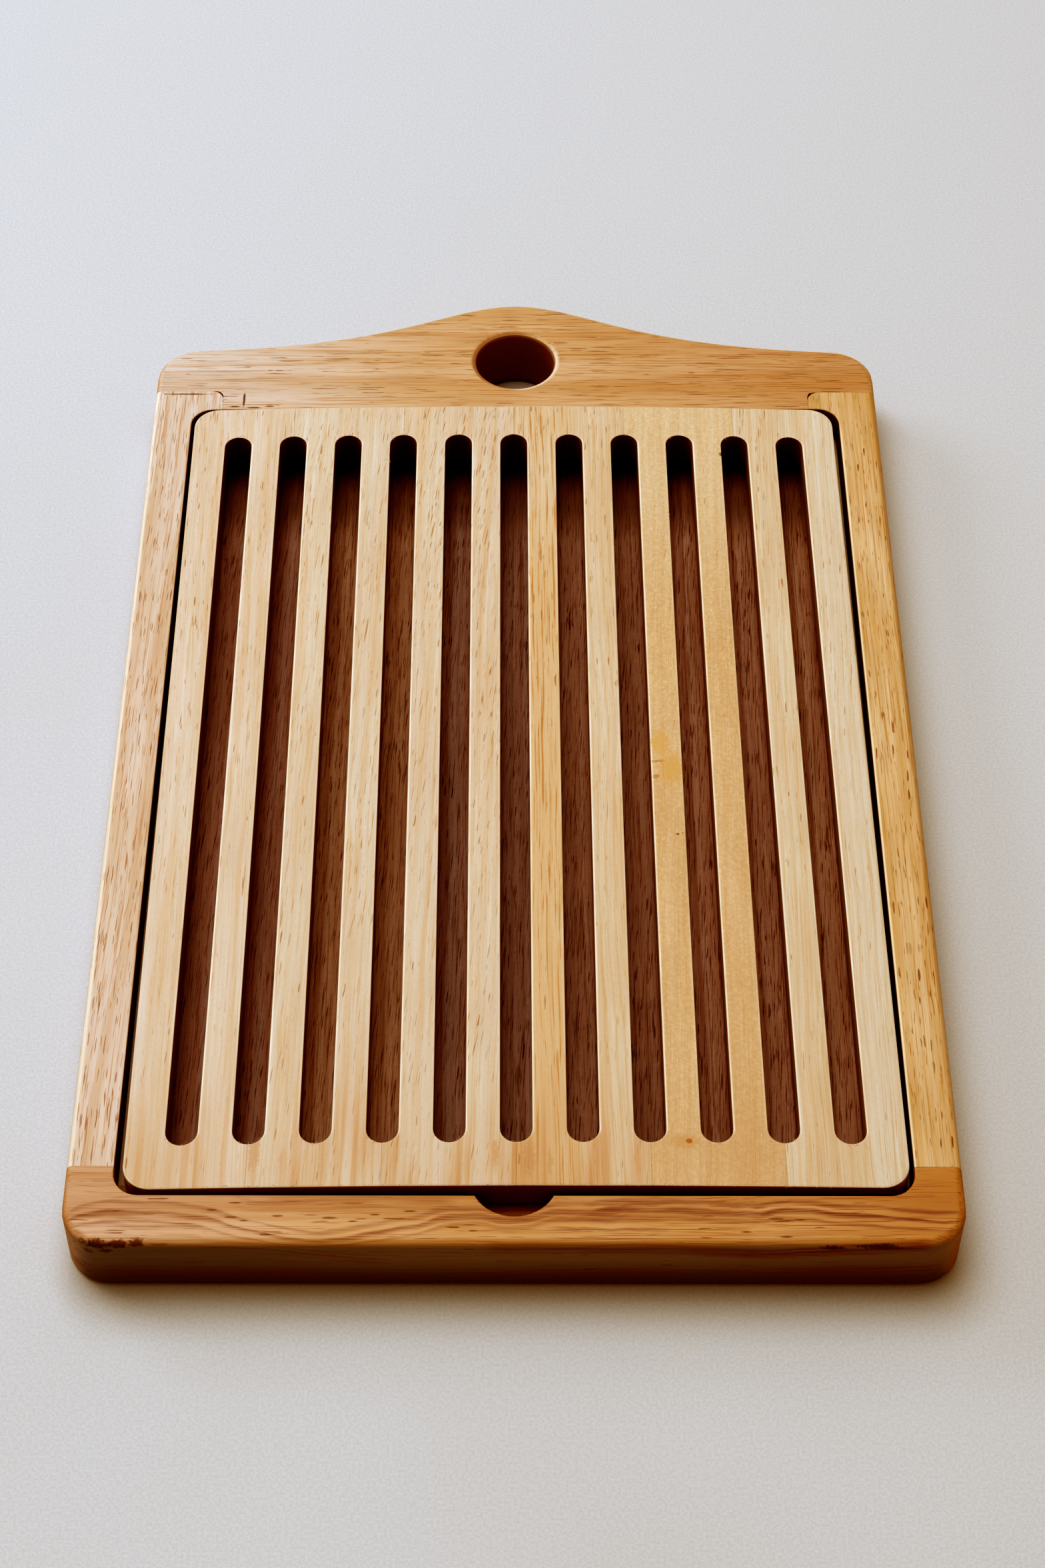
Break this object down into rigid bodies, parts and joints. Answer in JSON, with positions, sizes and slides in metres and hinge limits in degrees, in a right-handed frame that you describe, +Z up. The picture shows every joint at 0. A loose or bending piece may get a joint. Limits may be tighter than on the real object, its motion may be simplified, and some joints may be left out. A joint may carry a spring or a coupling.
{
  "type": "bread board",
  "caption": "Hardwood bread board with a hanging hole and a lift-out slotted rack over a recessed crumb tray.",
  "frame": {"origin": "middle of the board's width and length, on its underside", "axes": "+Y along the board to the handle end with the hanging hole, +Z up through the rack, +X to the right seen from above with the handle end away"},
  "size_m": [0.279, 0.4334, 0.0272],
  "materials": {
    "top_rail": "oiled, golden tan",
    "bottom_rail": "oiled, amber with brown figure",
    "left_stile": "oiled, pinkish cream",
    "right_stile": "oiled, straw",
    "rack": "lightly oiled, cream",
    "floor": "oiled, red-brown",
    "dowel": "bare"
  },
  "bodies": {
    "board": {"top_rail": "top_rail", "bottom_rail": "bottom_rail", "left_stile": "left_stile", "right_stile": "right_stile", "floor_stave_1": "floor", "floor_stave_2": "floor", "floor_stave_3": "floor", "floor_stave_4": "floor", "floor_stave_5": "floor", "floor_stave_6": "floor", "dowel_front_left_lower": "dowel", "dowel_front_left_upper": "dowel", "dowel_front_right_lower": "dowel", "dowel_front_right_upper": "dowel", "dowel_back_left_lower": "dowel", "dowel_back_left_upper": "dowel", "dowel_back_right_lower": "dowel", "dowel_back_right_upper": "dowel"},
    "rack": {"rack_stave_1": "rack", "rack_stave_2": "rack", "rack_stave_3": "rack", "rack_stave_4": "rack", "rack_stave_5": "rack", "rack_stave_6": "rack"}
  },
  "joints": [
    {"name": "rack_lift", "type": "slide", "parent": "board", "child": "rack", "axis": [0, 0, 1], "range_m": [0, 0.05]}
  ]
}
